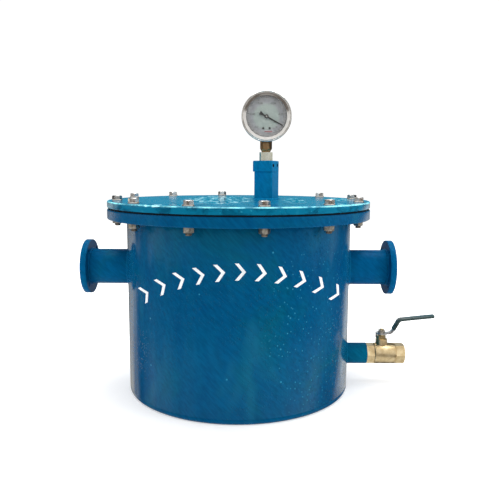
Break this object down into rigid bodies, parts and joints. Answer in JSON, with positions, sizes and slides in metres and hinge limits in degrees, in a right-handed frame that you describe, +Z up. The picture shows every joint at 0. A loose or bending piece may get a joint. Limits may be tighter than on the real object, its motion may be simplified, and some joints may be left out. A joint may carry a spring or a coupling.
{
  "type": "air water separator",
  "caption": "Round steel tank that strips water from piped air: bolted lid, flanged inlet and outlet, dial gauge on a post, and a drain with a lever ball valve.",
  "frame": {"origin": "centre of the tank's flat underside, on the tank axis", "axes": "+Z up along the tank axis; +X towards the outlet and the drain valve; -Y towards the front, where the gauge dial faces"},
  "size_m": [0.7711, 0.559, 0.6403],
  "materials": {
    "blue_paint": "glossy blue enamel",
    "gasket_rubber": "black rubber",
    "zinc_steel": "zinc plated",
    "bare_steel": "bare steel",
    "stainless": "polished stainless",
    "wire_mesh": "knitted stainless wire",
    "brass": "cast and turned brass",
    "chrome": "polished chrome",
    "ptfe": "white sealing plastic",
    "grip_vinyl": "dipped vinyl",
    "glass": "flat gauge glass",
    "dial_face": "matt grey-white enamel",
    "pointer_black": "matt black"
  },
  "bodies": {
    "root": {"adapter_seal": "gasket_rubber", "baffle_plate": "stainless", "ball_seats": "ptfe", "body_flange": "blue_paint", "bottom_plate": "blue_paint", "bourdon_tube": "brass", "demister_hold_down": "stainless", "demister_pad": "wire_mesh", "demister_support": "stainless", "demister_tie_bolts": "zinc_steel", "demister_tie_nuts": "zinc_steel", "dial_screws": "brass", "drain_nipple": "zinc_steel", "drain_socket": "blue_paint", "gauge_adapter": "zinc_steel", "gauge_bezel": "stainless", "gauge_block": "blue_paint", "gauge_case": "stainless", "gauge_dial": "dial_face", "gauge_post": "blue_paint", "gauge_socket": "brass", "gauge_staple": "bare_steel", "gauge_window": "glass", "inlet_flange": "blue_paint", "inlet_pipe": "blue_paint", "lid": "blue_paint", "lid_bolts": "zinc_steel", "lid_gasket": "gasket_rubber", "lid_nuts": "zinc_steel", "lid_washers": "zinc_steel", "movement_back_plate": "brass", "movement_front_plate": "brass", "movement_pillars": "brass", "outlet_flange": "blue_paint", "outlet_pipe": "blue_paint", "packing_nut": "brass", "relief_plug": "gasket_rubber", "stem_packing": "ptfe", "tank_shell": "blue_paint", "tube_tip": "brass", "valve_body": "brass", "valve_end_cap": "brass", "window_gasket": "gasket_rubber"},
    "valve_handle": {"valve_ball": "chrome", "valve_stem": "brass", "valve_lever": "bare_steel", "lever_grip": "grip_vinyl", "lever_nut": "bare_steel"},
    "gauge_sector": {"sector_gear": "brass"},
    "gauge_link": {"gauge_link": "brass"},
    "gauge_pointer": {"gauge_pointer": "pointer_black", "pinion_arbor": "brass"}
  },
  "joints": [
    {"name": "valve_turn", "type": "hinge", "parent": "root", "child": "valve_handle", "pos_m": [0.32, 0, 0.0635], "axis": [0, 0, 1], "range_deg": [-90, 0]},
    {"name": "sector_swing", "type": "hinge", "parent": "root", "child": "gauge_sector", "pos_m": [0.05882, 0.04138, 0.5618], "axis": [0, -1, 0], "range_deg": [-28.17, 1.82], "stiffness_Nm_per_rad": 0.05},
    {"name": "link_swing", "type": "hinge", "parent": "gauge_sector", "child": "gauge_link", "pos_m": [0.04811, 0.04138, 0.55929], "axis": [0, -1, 0], "range_deg": [-1.9, 28.2]},
    {"name": "pointer_turn", "type": "hinge", "parent": "root", "child": "gauge_pointer", "pos_m": [0.05882, 0.04138, 0.5858], "axis": [0, -1, 0], "range_deg": [-16.4, 253.6]}
  ],
  "couplings": [
    {"joint": "link_swing", "follows": "sector_swing", "ratio": -1},
    {"joint": "pointer_turn", "follows": "sector_swing", "ratio": -9}
  ]
}
